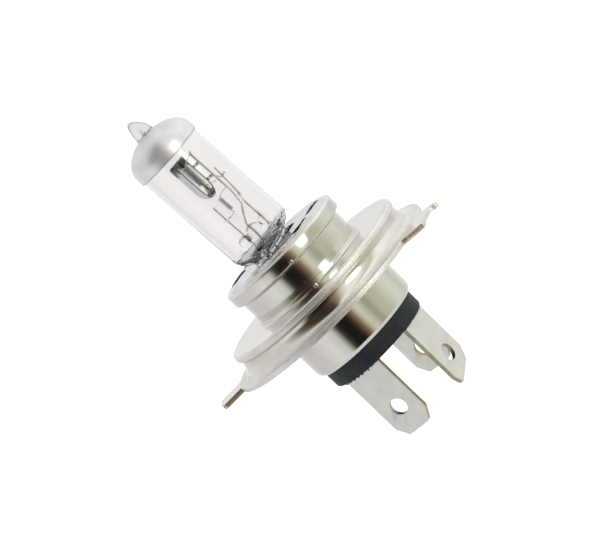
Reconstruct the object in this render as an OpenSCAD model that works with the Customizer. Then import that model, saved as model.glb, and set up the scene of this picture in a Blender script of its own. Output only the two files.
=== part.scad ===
// Two-filament halogen headlight bulb with a three-lug flange ring and three blade terminals.
// The origin is where the lamp's axis meets the reference plane, the front faces of the three lugs.
// +Z points to the glass tip, +Y to the reference lug and the low-beam terminal.

/* [Flange ring] */
// Diameter of the pilot edge that centres the lamp in its holder
pilot_d = 38; // [37.5:0.1:38.5]
// Diameter of the flange that carries the lugs
flange_d = 43.8; // [43:0.1:45]
// Diameter of the circle through the lug tips
lug_tip_d = 53; // [50:0.5:55]
// Thickness of the ring's sheet metal
ring_sheet = 0.9; // [0.7:0.05:1]
// Height of the ring's front face above the reference plane
ring_face_z = 4.55; // [4:0.05:5]
// Width of the reference lug
reference_lug_w = 8.5; // [8:0.5:12]
// Width of each side lug
side_lug_w = 6; // [4:0.5:8]
// Angle from the reference lug to each side lug
side_lug_angle = 147; // [130:1:155]

/* [Base] */
// Outer diameter of the collar's neck
neck_d = 22.6; // [22:0.1:23]
// Outer diameter of the collar's rim
rim_d = 24.8; // [24:0.1:25]
// Height of the collar's front edge above the reference plane
rim_z = 12.4; // [12:0.1:13]
// Outer diameter of the rear shell
shell_d = 22.2; // [21.8:0.1:22.4]
// Depth of the rear shell's edge behind the reference plane
shell_depth = 9.1; // [8:0.1:10]
// Thickness of the collar's and the shell's sheet metal
base_sheet = 0.5; // [0.4:0.05:0.6]
// Diameter of the insulator's rear end
insulator_d = 20.2; // [20:0.1:20.4]
// Depth of the insulator's rear face behind the reference plane
insulator_depth = 12.3; // [11:0.1:13]

/* [Terminals] */
// Width of a blade
blade_w = 8; // [7.5:0.1:8.2]
// Thickness of a blade
blade_t = 0.8; // [0.7:0.05:0.9]
// Distance from the lamp's axis to the middle of a blade
blade_offset = 8.65; // [8:0.05:8.7]
// Depth of the low-beam and high-beam blades' ends behind the reference plane
blade_depth = 26.1; // [25:0.1:29]
// Depth of the shorter earth blade's end behind the reference plane
earth_blade_depth = 24; // [23:0.1:29]
// Diameter of the hole in a blade
blade_hole_d = 3.2; // [2:0.1:3.5]
// Distance from a blade's end to the middle of its hole
blade_hole_inset = 5.2; // [4:0.1:7]
// The same distance on the shorter earth blade
earth_hole_inset = 4.4; // [4:0.1:7]

/* [Glass capsule] */
// Outer diameter of the glass tube
glass_d = 12.8; // [12:0.1:13]
// Wall thickness of the glass tube
glass_wall = 1; // [0.8:0.05:1.2]
// Height of the glass dome's apex above the reference plane
dome_z = 41.5; // [40:0.5:44]
// Height of the glass tip above the reference plane
tip_z = 45.1; // [44:0.1:48]
// Height of the coating's edge above the reference plane
coating_edge_z = 36.2; // [34:0.1:37]
// Lean of the capsule in its clip, as set when the filaments are aimed
capsule_lean = 2.4; // [0:0.1:2.5]
// Heading of the lean, counted from +X towards +Y
lean_heading = -40; // [-180:5:180]

/* [Leads and filaments] */
// Distance between neighbouring leads in the pressed seal
lead_pitch = 3.05; // [2.8:0.05:3.2]
// Diameter of the inner leads
lead_d = 0.56; // [0.4:0.02:0.6]
// Diameter of the outer leads
tail_d = 0.8; // [0.6:0.05:1]
// Outer radius of the beam shield
shield_r = 2; // [1.8:0.1:2.1]
// Height of the shield's rounded rear end above the reference plane
shield_rear_z = 26.2; // [26:0.1:27]
// Length of the beam shield
shield_len = 8.5; // [8:0.1:9]

/* [Hidden] */

$fn = 72;
overlap = 0.01;             // how far a cut runs past the face it opens
lean_pivot_z = -5;          // the capsule leans about this height
pilot_r = pilot_d / 2;
flange_r = flange_d / 2;
neck_r = neck_d / 2;
rim_r = rim_d / 2;
shell_r = shell_d / 2;
insulator_r = insulator_d / 2;
glass_r = glass_d / 2;
bore_r = glass_r - glass_wall;

pilot_round = 0.8;          // radius of the rolled pilot edge
flare_r = 2.4;              // radius of the flare between groove and flange
groove_depth = 0.3;         // how far the groove lies inside the pilot edge
hub_depth = 1;              // lowest point of the ring's hub sleeve

clip_plate_t = 0.5;
collar_foot_z = 2.6;        // lowest point of the collar inside the hub
shell_top_z = 2.4;          // highest point of the rear shell inside the hub
shell_round = 1.2;          // outer radius of the shell's rear edge
lip_t = 0.5;                // thickness of the shell's in-turned lip
insulator_top_z = -5.5;
blade_top_z = -4;             // inner end of a blade, where its outer lead is welded on
slot_gap = 0.02;            // play of a blade in its slot

dome_base_z = 37.6;         // where the tube turns into the dome
dome_h = dome_z - dome_base_z;
coating_t = 0.35;
shoulder_z = 15.6;          // where the tube starts to narrow towards the seal
shoulder_r = 2.4;           // radius of the shoulder
seal_top_z = 13.4;
seal_foot_z = 1.5;
seal_w = 11.2;
seal_t = 3.6;
cavity_floor_z = 14.5;
tip_r = 1.85;
foil_top_z = 9.5;
foil_foot_z = 4;
foil_w = 2;
foil_t = 0.1;
bead_z = 17.5;
bead_y = 0.25;
bead_r = 1.35;
bead_reach = 3.1;           // from the axis to the middle of the bead's round ends
bead_turn = -15;            // the bead lies a little askew across the leads
crimp_low_z = 27.5;
crimp_high_z = 22.05;
shield_t = 0.3;
shield_axis_y = 0.1;
shield_lip_y = 0.3;
filament_y = 0.4;
lead_r = lead_d / 2;
filament_tail_r = 0.12;
common_x = -shield_r - 0.05 - lead_r;   // the common lead runs beside the shield
common_y = 1.65;

// Points of an arc in the radius-height plane, from angle a0 to a1
function arc(c, r, a0, a1, n = 8) =
    [for (i = [0 : n]) [c[0] + r * cos(a0 + (a1 - a0) * i / n), c[1] + r * sin(a0 + (a1 - a0) * i / n)]];

// Routes of the leads, from the seal upwards
low_route = [
    [-lead_pitch, 0.1, foil_top_z], [-lead_pitch, 0.1, 14.1], [-lead_pitch, 1.25, 16.4],
    [-lead_pitch, 1.3, 21.9], [-lead_pitch, 1.8, 23.2], [-lead_pitch, 2.3, crimp_low_z],
    [-lead_pitch, 2.5, 29.4]
];
common_route = [
    [0, 0.1, foil_top_z], [0, 0.1, 19.3], [-0.1, 1.5, 21], [-1.2, 1.9, 22.2],
    [common_x, common_y, 24.4], [common_x, common_y, 34.2]
];
high_route = [
    [lead_pitch, 0, foil_top_z], [lead_pitch, 0, 13.6], [lead_pitch, 0.3, 15], [lead_pitch, 0.3, 25.2]
];

// Routes of the outer leads, from the foils to the inner faces of the blades
blade_face = blade_offset - blade_t / 2 - tail_d / 2 - 0.03;
low_tail_route = [
    [-lead_pitch, 0, foil_foot_z], [-lead_pitch, 0, 0.5], [-lead_pitch, 2.6, -0.6],
    [-0.6, 7.2, -2], [0, blade_face, -4.4]
];
high_tail_route = [
    [lead_pitch, 0, foil_foot_z], [lead_pitch, 0, 0.5], [5.2, 0, -1.2],
    [blade_face, 0, -2.8], [blade_face, 0, -4.4]
];
common_tail_route = [
    [0, 0, foil_foot_z], [0, 0, 0.5], [-3.6, -1.2, -1.6], [-blade_face, 0, -3], [-blade_face, 0, -4.4]
];

// Places what is sealed in or clipped to the leaning capsule
module capsule_frame() {
    translate([0, 0, lean_pivot_z])
        rotate([0, 0, lean_heading])
            rotate([0, capsule_lean, 0])
                rotate([0, 0, -lean_heading])
                    translate([0, 0, -lean_pivot_z]) children();
}

// A straight round bar from point a to point b
module bar(a, b, r) {
    d = b - a;
    length = norm(d);
    translate(a)
        rotate([0, acos(d[2] / length), atan2(d[1], d[0])])
            cylinder(r = r, h = length, $fn = 24);
}

// A round wire along a route, with round corners that stand a little proud of its straights
module wire(route, r) {
    for (i = [0 : len(route) - 2]) bar(route[i], route[i + 1], r);
    for (i = [1 : 1 : len(route) - 2]) translate(route[i]) sphere(r = 1.1 * r, $fn = 24);
}

// Glass outline of the outside, offset outwards by grow
module dome_outline(grow) {
    polygon(concat(
        [[0, coating_edge_z], [glass_r + grow, coating_edge_z]],
        [for (a = [0 : 6 : 90]) [(glass_r + grow) * cos(a), dome_base_z + (dome_h + grow) * sin(a)]]
    ));
}

module tip_outline() {
    polygon([
        [0, dome_z - 1], [tip_r, dome_z - 1], [tip_r, dome_z + 0.3], [tip_r - 0.13, dome_z + 1.1],
        [1.44, dome_z + 1.9], [1.1, tip_z - 1.1], [0.75, tip_z - 0.6], [0.45, tip_z - 0.2], [0, tip_z]
    ]);
}

module seal_body() {
    translate([0, 0, (seal_foot_z + seal_top_z) / 2])
        cube([seal_w - seal_t, seal_t, seal_top_z - seal_foot_z], center = true);
    for (side = [-1, 1])
        translate([side * (seal_w - seal_t) / 2, 0, seal_foot_z])
            cylinder(d = seal_t, h = seal_top_z - seal_foot_z);
}

module foil_body(x) {
    translate([x - foil_w / 2, -foil_t / 2, foil_foot_z]) cube([foil_w, foil_t, foil_top_z - foil_foot_z]);
}

module glass_envelope() color([0.86, 0.84, 0.82, 0.35]) capsule_frame() difference() {
    union() {
        rotate_extrude() dome_outline(0);
        rotate_extrude() tip_outline();
        rotate_extrude() polygon(concat(
            [[0, coating_edge_z], [glass_r, coating_edge_z], [glass_r, shoulder_z]],
            arc([glass_r - shoulder_r, shoulder_z], shoulder_r, 0, -90),
            [[0, shoulder_z - shoulder_r]]
        ));
        seal_body();
    }
    rotate_extrude() polygon(concat(
        [[0, cavity_floor_z], [bore_r - 1.6, cavity_floor_z]],
        arc([bore_r - 1.6, cavity_floor_z + 1.6], 1.6, -90, 0),
        [for (a = [0 : 6 : 90]) [bore_r * cos(a), dome_base_z + (dome_h - glass_wall) * sin(a)]]
    ));
    wire(low_route, lead_r);
    wire(common_route, lead_r);
    wire(high_route, lead_r);
    for (i = [-1 : 1]) {
        foil_body(i * lead_pitch);
        translate([i * lead_pitch, 0, seal_foot_z - overlap])
            cylinder(d = tail_d, h = foil_foot_z - seal_foot_z + overlap, $fn = 24);
    }
}

module front_coating() color([0.83, 0.83, 0.85]) capsule_frame() rotate_extrude() difference() {
    dome_outline(coating_t);
    dome_outline(0);
    square([tip_r, tip_z]);
}

// A filament seen as the envelope of its coil, with its two tails
module filament(r, z0, z1, rear_tail, front_tail) {
    translate([0, filament_y, z0]) difference() {
        cylinder(r = r, h = z1 - z0, $fn = 32);
        translate([0, 0, 2 * filament_tail_r])
            cylinder(r = r - 2 * filament_tail_r, h = z1 - z0 - 4 * filament_tail_r, $fn = 32);
    }
    wire(concat([[0, filament_y, z0 + filament_tail_r]], rear_tail), filament_tail_r);
    wire(concat([[0, filament_y, z1 - filament_tail_r]], front_tail), filament_tail_r);
}

module low_beam_filament() color([0.45, 0.45, 0.47]) capsule_frame()
    filament(0.6, 28.8, 33, [[0, 1.6, 28], [-1.6, 2.35, 27.7], [-lead_pitch + 0.43, 2.6, crimp_low_z]],
        [[-0.3, 1.1, 33.8], [common_x + lead_r, common_y, 33.9]]);

module high_beam_filament() color([0.45, 0.45, 0.47]) capsule_frame()
    filament(0.5, 22.6, 25.4, [[0.8, 0.9, 22.1], [lead_pitch - 0.43, 0.9, crimp_high_z]],
        [[-0.5, 1.1, 25.8], [common_x + lead_r, common_y, 25.9]]);

// Open trough with a rounded rear end, a flat front end and two tags that reach the common lead
module beam_shield() color([0.42, 0.43, 0.46]) capsule_frame() {
    nose_z = shield_rear_z + shield_r;
    front_z = shield_rear_z + shield_len;
    difference() {
        translate([0, shield_axis_y, 0]) {
            translate([0, 0, nose_z]) cylinder(r = shield_r, h = front_z - nose_z);
            translate([0, 0, nose_z]) sphere(r = shield_r);
        }
        translate([0, shield_axis_y, 0]) {
            translate([0, 0, nose_z]) cylinder(r = shield_r - shield_t, h = front_z - nose_z - shield_t);
            translate([0, 0, nose_z]) sphere(r = shield_r - shield_t);
        }
        translate([-shield_r - 1, shield_lip_y, shield_rear_z - 1]) 
            cube([2 * shield_r + 2, shield_r + 1, shield_len + 2]);
    }
    for (z = [28.4, 31.5])
        translate([-shield_r - 0.05, shield_axis_y, z]) cube([shield_t, common_y + 0.2 - shield_axis_y, 1]);
}

module low_beam_lead() color([0.5, 0.5, 0.52]) capsule_frame() wire(low_route, lead_r);

module common_lead() color([0.5, 0.5, 0.52]) capsule_frame() wire(common_route, lead_r);

module high_beam_lead() color([0.5, 0.5, 0.52]) capsule_frame() wire(high_route, lead_r);

module support_bead() color([0.85, 0.86, 0.88, 0.5]) capsule_frame() difference() {
    translate([0, bead_y, bead_z]) rotate([0, 90, bead_turn]) rotate_extrude($fn = 36) polygon(concat(
        [[0, -bead_reach - bead_r]],
        arc([0, -bead_reach], bead_r, -90, 0),
        arc([0, bead_reach], bead_r, 0, 90)
    ));
    wire(low_route, lead_r);
    wire(common_route, lead_r);
    wire(high_route, lead_r);
}

// Folded tag that clamps a filament's tail to its lead
module crimp(x, y, z, size) {
    translate([x, y, z]) cube(size, center = true);
}

module filament_crimps() color([0.4, 0.4, 0.42]) capsule_frame() difference() {
    union() {
        crimp(-lead_pitch, 2.1, crimp_low_z, [0.86, 2, 0.6]);
        crimp(lead_pitch, 0.45, crimp_high_z, [0.86, 1.8, 0.6]);
    }
    wire(low_route, lead_r);
    wire(high_route, lead_r);
}

module low_beam_foil() color([0.55, 0.54, 0.52]) capsule_frame() foil_body(-lead_pitch);

module common_foil() color([0.55, 0.54, 0.52]) capsule_frame() foil_body(0);

module high_beam_foil() color([0.55, 0.54, 0.52]) capsule_frame() foil_body(lead_pitch);

module low_beam_tail() color([0.6, 0.58, 0.55]) capsule_frame() wire(low_tail_route, tail_d / 2);

module common_tail() color([0.6, 0.58, 0.55]) capsule_frame() wire(common_tail_route, tail_d / 2);

module high_beam_tail() color([0.6, 0.58, 0.55]) capsule_frame() wire(high_tail_route, tail_d / 2);

// Rectangle with round ends, along X
module stadium(length, width) {
    square([length - width, width], center = true);
    for (side = [-1, 1]) translate([side * (length - width) / 2, 0]) circle(d = width);
}

// Sleeve round the pressed seal, with two ears that are welded under the front plate
module pinch_clip() color([0.7, 0.7, 0.68]) capsule_frame() {
    translate([0, 0, 4]) linear_extrude(7.4) difference() {
        stadium(seal_w + 0.9, seal_t + 0.9);
        stadium(seal_w, seal_t);
    }
    for (side = [0, 1]) mirror([0, side, 0])
        translate([-3, (seal_t + 0.9) / 2, 10.9]) cube([6, 4, 0.5]);
}

// Disc that closes the collar, with the seal's window and two pairs of slots
module clip_plate() color([0.85, 0.85, 0.83]) translate([0, 0, rim_z])
    linear_extrude(clip_plate_t) difference() {
        circle(r = rim_r - 0.9);
        stadium(12.8, 5.6);
        for (x = [-3.1, 3.1]) for (y = [-8.4, 8.4]) translate([x, y]) stadium(5.2, 1.8);
    }

module front_collar() color([0.78, 0.77, 0.74]) rotate_extrude() polygon(concat(
    [[neck_r - base_sheet, collar_foot_z], [neck_r, collar_foot_z], [neck_r, rim_z - 2.8]],
    [[rim_r - 0.15, rim_z - 2.5], [rim_r, rim_z - 2.3]],
    arc([rim_r - 0.6, rim_z - 0.6], 0.6, 0, 90),
    [[rim_r - 1.4, rim_z], [rim_r - 1.4, rim_z - base_sheet], [rim_r - base_sheet, rim_z - base_sheet - 0.1]],
    [[rim_r - base_sheet, rim_z - 2.1], [neck_r - base_sheet, rim_z - 2.6]]
));

// Section of the ring's sheet: hub sleeve, front face, rolled pilot edge, groove, flare and flange
module ring_section() {
    face = ring_face_z;
    land_z = face - pilot_round;
    groove_r = pilot_r - groove_depth;
    polygon(concat(
        [[neck_r, hub_depth], [neck_r, face + 0.75]],
        [[neck_r + 0.35, face + 0.75], [neck_r + 0.45, face + 0.6]],
        arc([neck_r + 0.85, face + 0.4], 0.4, 180, 270, 4),
        arc([pilot_r - pilot_round, land_z], pilot_round, 90, 0),
        [[pilot_r, land_z - 0.75], [groove_r + 0.1, land_z - 1.3]],
        arc([groove_r + flare_r, flare_r], flare_r, 180, 270),
        [[flange_r - 0.15, 0], [flange_r, -0.15], [flange_r, -ring_sheet]],
        arc([groove_r + flare_r, flare_r], flare_r + ring_sheet, 270, 180),
        [[groove_r - ring_sheet + 0.1, land_z - 1.3], [pilot_r - ring_sheet, land_z - 0.75]],
        [[pilot_r - ring_sheet, face - ring_sheet - 0.2], [pilot_r - ring_sheet - 0.2, face - ring_sheet]],
        [[neck_r + 0.95, face - ring_sheet], [neck_r + 0.8, face - ring_sheet - 0.15]],
        [[neck_r + 0.8, hub_depth]]
    ));
}

// Flat lug from the flange to its tip
module lug_plate(outline) {
    translate([0, 0, -ring_sheet]) linear_extrude(ring_sheet) polygon(outline);
}

module side_lug() {
    w = side_lug_w / 2;
    tip = lug_tip_d / 2;
    lug_plate([[-w, flange_r - 1], [w, flange_r - 1], [w, tip - 0.9], [w - 0.5, tip - 0.3],
        [0, tip], [-w + 0.5, tip - 0.3], [-w, tip - 0.9]]);
}

// The reference lug has a drawn-out ear at one corner
module reference_lug() {
    w = reference_lug_w / 2;
    tip = lug_tip_d / 2;
    lug_plate([[-w, flange_r - 1], [w, flange_r - 1], [w, tip - 0.4], [w - 0.4, tip],
        [-w + 1.2, tip - 1.7], [-w + 0.7, tip], [-w, tip - 0.6]]);
}

module flange_ring() color([0.74, 0.73, 0.7]) {
    rotate_extrude($fn = 144) ring_section();
    reference_lug();
    for (side = [-1, 1]) rotate([0, 0, side * side_lug_angle]) side_lug();
}

// Small weld beads where the collar meets the hub's front edge
module weld_nubs() color([0.6, 0.58, 0.54]) for (a = [35 : 120 : 275]) rotate([0, 0, a]) difference() {
    translate([neck_r + 0.1, 0, ring_face_z + 0.95]) sphere(r = 0.4, $fn = 24);
    cylinder(r = neck_r, h = 20);
    translate([0, 0, ring_face_z - 1]) cylinder(r = neck_r + 2, h = 1.75);
}

module base_shell() color([0.76, 0.75, 0.72]) rotate_extrude() polygon(concat(
    [[neck_r - base_sheet, shell_top_z], [neck_r, shell_top_z]],
    [[neck_r, hub_depth + 0.2], [shell_r, hub_depth - 0.1]],
    arc([shell_r - shell_round, -shell_depth + shell_round], shell_round, 0, -90),
    [[insulator_r, -shell_depth], [insulator_r, -shell_depth + lip_t]],
    [[shell_r - base_sheet, -shell_depth + lip_t + 0.6], [shell_r - base_sheet, hub_depth]]
));

module insulator() color([0.13, 0.15, 0.2]) difference() {
    rotate_extrude() polygon([
        [0, insulator_top_z], [0, -insulator_depth + 1], [4.5, -insulator_depth + 1], [4.5, -insulator_depth],
        [insulator_r - 0.4, -insulator_depth], [insulator_r, -insulator_depth + 0.4],
        [insulator_r, -shell_depth + lip_t], [shell_r - base_sheet, -shell_depth + lip_t + 0.6],
        [shell_r - base_sheet, insulator_top_z]
    ]);
    for (a = [-90 : 90 : 90]) rotate([0, 0, a])
        translate([0, blade_offset, 0])
            cube([blade_w + 2 * slot_gap, blade_t + 2 * slot_gap, 60], center = true);
}

// Flat blade with cut corners and its hole, facing +Y
module blade(depth, hole_inset) {
    w = blade_w / 2;
    cut = [1.4, 2.2];
    translate([0, blade_offset, 0]) rotate([90, 0, 0]) linear_extrude(blade_t, center = true) difference() {
        polygon([[-w, blade_top_z], [w, blade_top_z], [w, -depth + cut[1]], [w - cut[0], -depth],
            [-w + cut[0], -depth], [-w, -depth + cut[1]]]);
        translate([0, -depth + hole_inset]) circle(d = blade_hole_d);
    }
}

module low_beam_terminal() color([0.78, 0.77, 0.74]) blade(blade_depth, blade_hole_inset);

module high_beam_terminal() color([0.78, 0.77, 0.74]) rotate([0, 0, -90])
    blade(blade_depth, blade_hole_inset);

module earth_terminal() color([0.78, 0.77, 0.74]) rotate([0, 0, 90])
    blade(earth_blade_depth, earth_hole_inset);

glass_envelope();
front_coating();
low_beam_filament();
high_beam_filament();
beam_shield();
low_beam_lead();
high_beam_lead();
common_lead();
support_bead();
filament_crimps();
low_beam_foil();
high_beam_foil();
common_foil();
low_beam_tail();
high_beam_tail();
common_tail();
pinch_clip();
clip_plate();
front_collar();
flange_ring();
weld_nubs();
base_shell();
insulator();
low_beam_terminal();
high_beam_terminal();
earth_terminal();
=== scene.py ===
# Two-filament halogen headlight bulb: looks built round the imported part.
# The meshes are made in millimetres and scaled to metres when a piece is finished.
import math
import bpy
import bmesh
from mathutils import Matrix, Vector, noise


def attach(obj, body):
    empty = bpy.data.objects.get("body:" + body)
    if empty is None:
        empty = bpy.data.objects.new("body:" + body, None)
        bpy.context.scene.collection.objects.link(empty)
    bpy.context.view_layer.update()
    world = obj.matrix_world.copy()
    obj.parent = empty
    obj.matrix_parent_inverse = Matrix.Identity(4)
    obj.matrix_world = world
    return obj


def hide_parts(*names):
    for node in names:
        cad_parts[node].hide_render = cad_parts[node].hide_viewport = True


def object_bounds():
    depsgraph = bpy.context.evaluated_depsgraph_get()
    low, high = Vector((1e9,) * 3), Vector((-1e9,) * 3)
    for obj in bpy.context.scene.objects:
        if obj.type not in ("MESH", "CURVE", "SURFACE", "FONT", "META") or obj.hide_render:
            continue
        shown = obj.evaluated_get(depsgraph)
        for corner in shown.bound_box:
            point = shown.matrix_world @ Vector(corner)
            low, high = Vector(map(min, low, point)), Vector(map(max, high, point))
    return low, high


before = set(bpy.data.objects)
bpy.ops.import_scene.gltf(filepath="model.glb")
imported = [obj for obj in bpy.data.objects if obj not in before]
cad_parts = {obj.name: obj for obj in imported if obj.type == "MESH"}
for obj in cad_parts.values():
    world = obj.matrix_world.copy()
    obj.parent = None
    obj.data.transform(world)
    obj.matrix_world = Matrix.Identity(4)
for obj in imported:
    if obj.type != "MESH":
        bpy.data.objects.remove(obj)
cad_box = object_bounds()

MM = 0.001
SHARP = math.radians(38)
WIRE_BEVEL, COIL_BEVEL = 5, 3

# Sizes of the part, in millimetres
PILOT_R, FACE_Z = 19.0, 4.55
GROOVE_R, FLARE_R, FLANGE_R, RING_T = 18.7, 2.4, 21.9, 0.9
LUG_ROOT_R, LUG_TIP_R, LUG_HALF, REFERENCE_LUG_HALF, LUG_TURN = 20.8, 26.5, 3.0, 4.25, 147
WELD_TURNS = (35, 155, 275)
SEAL_SLOT, CLIP_SLOT, CLIP_SLOT_X, CLIP_SLOT_Y = (12.8, 5.6), (5.2, 1.8), 3.1, 8.4
NECK_R, RIM_R, RIM_Z, SHEET = 11.3, 12.4, 12.4, 0.5
SHELL_R, SHELL_Z, SHELL_ROUND = 11.1, -9.1, 1.2
INSULATOR_R, INSULATOR_Z = 10.1, -12.3
BLADE_W, BLADE_T, BLADE_OFFSET, BLADE_TOP, BLADE_HOLE_R = 8.0, 0.8, 8.65, -4.0, 1.6
GLASS_R, GLASS_WALL, DOME_BASE, DOME_H = 6.4, 1.0, 37.6, 3.9
TIP_Z, TIP_START, PINCH_TOP = 45.1, 41.4, 14.9
TIP_BEND_Z, TIP_BEND = 42.6, Vector((0.29, -0.41, 0))
COATING_EDGE, COATING_T, COATING_GAP, NOSE_TOP = 36.2, 0.35, 0.02, 74
LEAD_R, WIRE_R, LEAD_PITCH = 0.28, 0.22, 3.05
SHIELD_R, SHIELD_T, SHIELD_REAR, SHIELD_FRONT = 2.0, 0.3, 26.2, 34.7

# The capsule leans a little in its clip, about a point behind the reference plane
LEAN, HEADING, PIVOT = math.radians(2.4), math.radians(-40), Vector((0, 0, -5))
capsule = (Matrix.Translation(PIVOT) @ Matrix.Rotation(HEADING, 4, "Z") @ Matrix.Rotation(LEAN, 4, "Y")
           @ Matrix.Rotation(-HEADING, 4, "Z") @ Matrix.Translation(-PIVOT))


# ---------------------------------------------------------------- mesh helpers

def line(bm, points, closed=False):
    """Edges through points (a, b, c); a fourth number is the radius that rounds that corner."""
    verts = [bm.verts.new(p[:3]) for p in points]
    ends = verts[1:] + verts[:1] if closed else verts[1:]
    for pair in zip(verts, ends):
        bm.edges.new(pair)
    for vert, p in zip(verts, points):
        if len(p) < 4:
            continue
        arms = [(e.other_vert(vert).co - vert.co).normalized() for e in vert.link_edges]
        turn = math.pi - arms[0].angle(arms[1])
        bmesh.ops.bevel(bm, geom=[vert], offset=p[3] * math.tan(turn / 2), offset_type="OFFSET",
                        segments=max(2, math.ceil(turn / math.radians(11))), profile=0.5,
                        affect="VERTICES", material=-1)


def section(points):
    """(radius, height[, rounding]) points as points of the XZ plane."""
    return [(p[0], 0, p[1], *p[2:]) for p in points]


def lathe(points, steps=192, closed=True):
    """A new bmesh: the section turned about Z."""
    bm = bmesh.new()
    line(bm, section(points), closed)
    bmesh.ops.spin(bm, geom=bm.verts[:] + bm.edges[:], cent=(0, 0, 0), axis=(0, 0, 1), dvec=(0, 0, 0),
                   angle=2 * math.pi, steps=steps, use_merge=True, use_duplicate=False)
    bmesh.ops.remove_doubles(bm, verts=bm.verts, dist=1e-4)
    bmesh.ops.recalc_face_normals(bm, faces=bm.faces)
    return bm


def shift(bm, vec):
    bmesh.ops.translate(bm, vec=vec, verts=bm.verts)


def turn_z(bm, degrees):
    spun = Matrix.Rotation(math.radians(degrees), 3, "Z")
    bmesh.ops.rotate(bm, cent=(0, 0, 0), matrix=spun, verts=bm.verts)


def grown_verts(result):
    """The vertices that an extrusion added."""
    return [g for g in result["geom"] if isinstance(g, bmesh.types.BMVert)]


def plate(loops, thickness):
    """A new bmesh: closed XY loops, holes among them, filled and raised by thickness."""
    bm = bmesh.new()
    for loop in loops:
        line(bm, loop, closed=True)
    bmesh.ops.triangle_fill(bm, use_beauty=True, use_dissolve=False, edges=bm.edges[:], normal=(0, 0, 1))
    raised = bmesh.ops.extrude_face_region(bm, geom=bm.faces[:])
    bmesh.ops.translate(bm, vec=(0, 0, thickness), verts=grown_verts(raised))
    bmesh.ops.recalc_face_normals(bm, faces=bm.faces)
    return bm


def soften(bm, width, segments=2, least=math.radians(40), only=None):
    """Rounds the sharp edges."""
    edges = [e for e in bm.edges if len(e.link_faces) == 2 and e.calc_face_angle(0) > least
             and (only is None or only(e))]
    bmesh.ops.bevel(bm, geom=edges, offset=width, offset_type="OFFSET", segments=segments, profile=0.5,
                    affect="EDGES", clamp_overlap=True, material=-1)


def ring_points(radius, count, centre):
    """A circle in the XY plane."""
    return [(centre[0] + radius * math.cos(2 * math.pi * i / count),
             centre[1] + radius * math.sin(2 * math.pi * i / count), 0) for i in range(count)]


def slot_points(size, centre, height, steps=12):
    """A rectangle with round ends, along X."""
    length, width = size
    half = (length - width) / 2
    points = []
    for side, start in ((1, -90), (-1, 90)):
        for i in range(steps + 1):
            a = math.radians(start + 180 * i / steps)
            points.append((centre[0] + side * half + width / 2 * math.cos(a),
                           centre[1] + width / 2 * math.sin(a), height))
    return points


def join(bm, *others):
    """bm with the others' meshes added, not united."""
    for other in others:
        mesh = bpy.data.meshes.new("part")
        other.to_mesh(mesh)
        other.free()
        bm.from_mesh(mesh)
        bpy.data.meshes.remove(mesh)
    return bm


def boolean(bm, tool, operation):
    """bm cut by, or united with, the tool."""
    holders = []
    for source in (bm, tool):
        mesh = bpy.data.meshes.new("solid")
        source.to_mesh(mesh)
        source.free()
        holder = bpy.data.objects.new("solid", mesh)
        bpy.context.scene.collection.objects.link(holder)
        holders.append(holder)
    modifier = holders[0].modifiers.new("cut", "BOOLEAN")
    modifier.object, modifier.operation, modifier.solver = holders[1], operation, "EXACT"
    result = bmesh.new()
    result.from_object(holders[0], bpy.context.evaluated_depsgraph_get())
    for holder in holders:
        mesh = holder.data
        bpy.data.objects.remove(holder)
        bpy.data.meshes.remove(mesh)
    return result


def tube(route, radius):
    """A new bmesh: a round wire along a route of (x, y, z[, bend radius]) points."""
    path = bmesh.new()
    line(path, route)
    ends = (v for v in path.verts if len(v.link_edges) == 1)
    vert = min(ends, key=lambda v: (v.co - Vector(route[0][:3])).length)
    points, edge = [vert.co.copy()], None
    while True:
        onward = [e for e in vert.link_edges if e != edge]
        if not onward:
            break
        edge = onward[0]
        vert = edge.other_vert(vert)
        points.append(vert.co.copy())
    path.free()
    return curve_tube(points, radius, WIRE_BEVEL)


def curve_tube(points, radius, sides):
    """A new bmesh: a round wire with closed ends through all the points."""
    curve = bpy.data.curves.new("wire", "CURVE")
    curve.dimensions = "3D"
    spline = curve.splines.new("POLY")
    spline.points.add(len(points) - 1)
    for place, point in zip(spline.points, points):
        place.co = (*point, 1)
    curve.bevel_depth, curve.bevel_resolution, curve.use_fill_caps = radius, sides, True
    holder = bpy.data.objects.new("wire", curve)
    mesh = bpy.data.meshes.new_from_object(holder)
    bm = bmesh.new()
    bm.from_mesh(mesh)
    bpy.data.objects.remove(holder)
    bpy.data.curves.remove(curve)
    bpy.data.meshes.remove(mesh)
    bmesh.ops.remove_doubles(bm, verts=bm.verts, dist=1e-4)
    bmesh.ops.recalc_face_normals(bm, faces=bm.faces)
    return bm


def block(size, centre, soft, turn=0):
    """A new bmesh: a block with softened edges, turned about Z by degrees."""
    bm = bmesh.new()
    bmesh.ops.create_cube(bm, size=1)
    bmesh.ops.scale(bm, vec=size, verts=bm.verts)
    soften(bm, soft)
    turn_z(bm, turn)
    shift(bm, centre)
    return bm


def ball(radius, scale, centre, segments, rings):
    """A new bmesh: a ball stretched along the axes."""
    bm = bmesh.new()
    bmesh.ops.create_uvsphere(bm, u_segments=segments, v_segments=rings, radius=radius)
    bmesh.ops.scale(bm, vec=scale, verts=bm.verts)
    shift(bm, centre)
    return bm


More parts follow.
